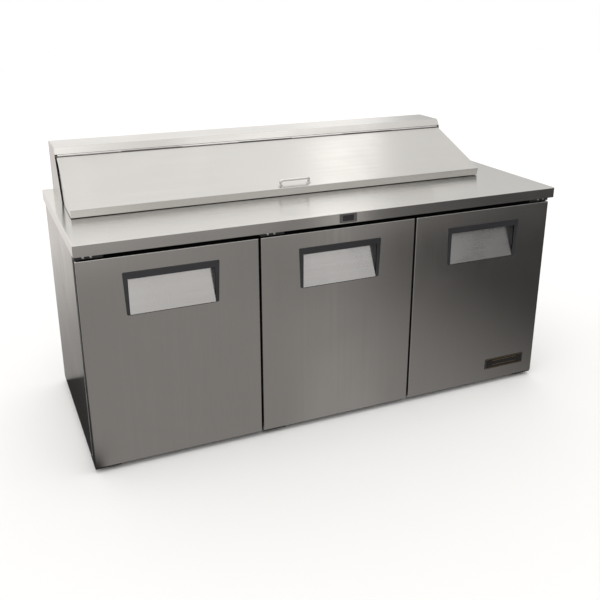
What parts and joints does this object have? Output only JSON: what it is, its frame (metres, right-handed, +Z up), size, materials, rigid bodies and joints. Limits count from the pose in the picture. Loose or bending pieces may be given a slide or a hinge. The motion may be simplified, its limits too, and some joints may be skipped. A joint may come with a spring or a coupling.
{
  "type": "refrigerated preparation counter",
  "caption": "Low stainless refrigerated counter with hinged doors, a worktop, and a hooded pan well under a lift-up sloping lid.",
  "frame": {"origin": "centre of the bounding box's footprint, on the floor", "axes": "+X along the counter to the right of someone standing in front of it, -Y the door side, +Z up"},
  "size_m": [1.839, 0.769, 1.0085],
  "materials": {
    "brushed_stainless": "satin, grain along the sheet",
    "pan_stainless": "satin",
    "galvanised_steel": "matt spangle",
    "liner_white": "smooth white foamed wall",
    "handle_grey": "fine matt texture",
    "seal_black": "matt",
    "black_steel": "satin black",
    "shelf_coating": "epoxy coated wire",
    "coil_aluminium": "thin fins",
    "fan_black": "matt",
    "badge_black": "gloss",
    "display_bezel": "satin grey with a dark screen"
  },
  "bodies": {
    "cabinet": {"worktop": "brushed_stainless", "pan_1": "pan_stainless", "pan_2": "pan_stainless", "pan_3": "pan_stainless", "pan_4": "pan_stainless", "pan_5": "pan_stainless", "pan_6": "pan_stainless", "hood_cover": "brushed_stainless", "hood_left_cheek": "brushed_stainless", "hood_right_cheek": "brushed_stainless", "lid_hinge_leaf": "brushed_stainless", "temperature_display": "display_bezel", "left_side_panel": "brushed_stainless", "right_side_panel": "brushed_stainless", "left_liner_wall": "liner_white", "right_liner_wall": "liner_white", "rear_wall": "liner_white", "floor_liner": "liner_white", "base_panel": "galvanised_steel", "front_header": "black_steel", "left_mullion": "liner_white", "right_mullion": "liner_white", "rear_grille": "galvanised_steel", "power_inlet": "seal_black", "foot_front_left": "seal_black", "foot_front_right": "seal_black", "foot_rear_left": "seal_black", "foot_rear_right": "seal_black", "shelf_1": "shelf_coating", "shelf_2": "shelf_coating", "shelf_3": "shelf_coating", "evaporator_housing": "liner_white", "evaporator_coil": "coil_aluminium", "compressor": "black_steel", "condenser_coil": "coil_aluminium", "door_1_top_hinge": "black_steel", "door_1_bottom_hinge": "black_steel", "door_2_top_hinge": "black_steel", "door_2_bottom_hinge": "black_steel", "door_3_top_hinge": "black_steel", "door_3_bottom_hinge": "black_steel"},
    "lid": {"lid_skin": "brushed_stainless", "lid_liner": "liner_white", "lid_handle": "brushed_stainless"},
    "door_1": {"door_1_skin": "brushed_stainless", "door_1_liner": "liner_white", "door_1_gasket": "seal_black", "door_1_handle": "handle_grey"},
    "door_2": {"door_2_skin": "brushed_stainless", "door_2_liner": "liner_white", "door_2_gasket": "seal_black", "door_2_handle": "handle_grey"},
    "door_3": {"door_3_skin": "brushed_stainless", "door_3_liner": "liner_white", "door_3_gasket": "seal_black", "door_3_handle": "handle_grey", "badge_plate": "badge_black"},
    "evaporator_fan": {"evaporator_fan": "fan_black"},
    "condenser_fan": {"condenser_fan": "fan_black"},
    "thermostat_dial": {"thermostat_dial": "fan_black"}
  },
  "joints": [
    {"name": "lid_hinge", "type": "hinge", "parent": "cabinet", "child": "lid", "pos_m": [-0.0555, 0.216, 0.9765], "axis": [-1, 0, 0], "range_deg": [0, 125]},
    {"name": "door_1_hinge", "type": "hinge", "parent": "cabinet", "child": "door_1", "pos_m": [-0.9011, -0.3495, 0.391], "axis": [0, 0, -1], "range_deg": [0, 110]},
    {"name": "door_2_hinge", "type": "hinge", "parent": "cabinet", "child": "door_2", "pos_m": [-0.2897, -0.3495, 0.391], "axis": [0, 0, -1], "range_deg": [0, 110]},
    {"name": "door_3_hinge", "type": "hinge", "parent": "cabinet", "child": "door_3", "pos_m": [0.9011, -0.3495, 0.391], "axis": [0, 0, 1], "range_deg": [0, 110]},
    {"name": "evaporator_fan_spin", "type": "hinge", "parent": "cabinet", "child": "evaporator_fan", "pos_m": [-0.1, 0.2607, 0.56], "axis": [0, 1, 0], "continuous": true},
    {"name": "condenser_fan_spin", "type": "hinge", "parent": "cabinet", "child": "condenser_fan", "pos_m": [-0.63, 0.286, 0.15], "axis": [0, 1, 0], "continuous": true},
    {"name": "thermostat_turn", "type": "hinge", "parent": "cabinet", "child": "thermostat_dial", "pos_m": [0.215, 0.2417, 0.64], "axis": [0, 1, 0], "range_deg": [0, 270]}
  ]
}
